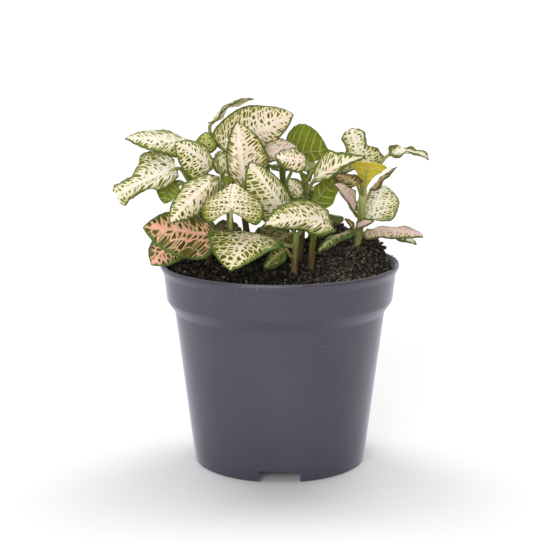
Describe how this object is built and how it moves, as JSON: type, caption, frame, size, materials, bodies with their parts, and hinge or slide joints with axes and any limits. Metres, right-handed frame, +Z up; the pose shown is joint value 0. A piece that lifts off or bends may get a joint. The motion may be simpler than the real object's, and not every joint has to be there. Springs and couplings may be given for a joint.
{
  "type": "potted nerve plant",
  "caption": "Small nerve plant with cream-veined, green-edged oval leaves on short stems, growing in a dark tapered plastic nursery pot filled with peat.",
  "frame": {"origin": "centre of the whole plant's bounding box, on the ground plane under the pot", "axes": "+Z up along the pot's axis, -Y to the front of the plant, +X to its right"},
  "size_m": [0.1364, 0.105, 0.1596],
  "materials": {
    "pot_plastic": "injection-moulded, semi-matte dark grey-blue, faintly scratched",
    "soil": "loose damp peat with fibres and white perlite grains",
    "stem": "soft, finely hairy, green turning brown-red at the foot",
    "leaf": "satin leaf, cream to pink veins, green islets and margin"
  },
  "bodies": {
    "root": {"leaf_back_1": "leaf", "leaf_back_2": "leaf", "leaf_back_3": "leaf", "leaf_back_4": "leaf", "leaf_back_5": "leaf", "leaf_back_6": "leaf", "leaf_back_left_1": "leaf", "leaf_back_left_2": "leaf", "leaf_back_left_3": "leaf", "leaf_back_left_4": "leaf", "leaf_back_left_5": "leaf", "leaf_back_left_6": "leaf", "leaf_back_left_7": "leaf", "leaf_back_left_8": "leaf", "leaf_back_right_1": "leaf", "leaf_back_right_2": "leaf", "leaf_back_right_3": "leaf", "leaf_centre_1": "leaf", "leaf_centre_2": "leaf", "leaf_centre_3": "leaf", "leaf_centre_4": "leaf", "leaf_centre_5": "leaf", "leaf_centre_6": "leaf", "leaf_far_left_1": "leaf", "leaf_far_left_2": "leaf", "leaf_far_left_3": "leaf", "leaf_far_left_4": "leaf", "leaf_far_left_5": "leaf", "leaf_far_left_6": "leaf", "leaf_front_1": "leaf", "leaf_front_2": "leaf", "leaf_front_right_1": "leaf", "leaf_left_1": "leaf", "leaf_left_2": "leaf", "leaf_left_3": "leaf", "leaf_left_4": "leaf", "leaf_right_1": "leaf", "leaf_right_10": "leaf", "leaf_right_2": "leaf", "leaf_right_3": "leaf", "leaf_right_4": "leaf", "leaf_right_5": "leaf", "leaf_right_6": "leaf", "leaf_right_7": "leaf", "leaf_right_8": "leaf", "leaf_right_9": "leaf", "pot": "pot_plastic", "potting_soil": "soil", "stem_back": "stem", "stem_back_left": "stem", "stem_back_right": "stem", "stem_centre": "stem", "stem_far_left": "stem", "stem_front": "stem", "stem_front_right": "stem", "stem_left": "stem", "stem_right": "stem"}
  },
  "joints": []
}
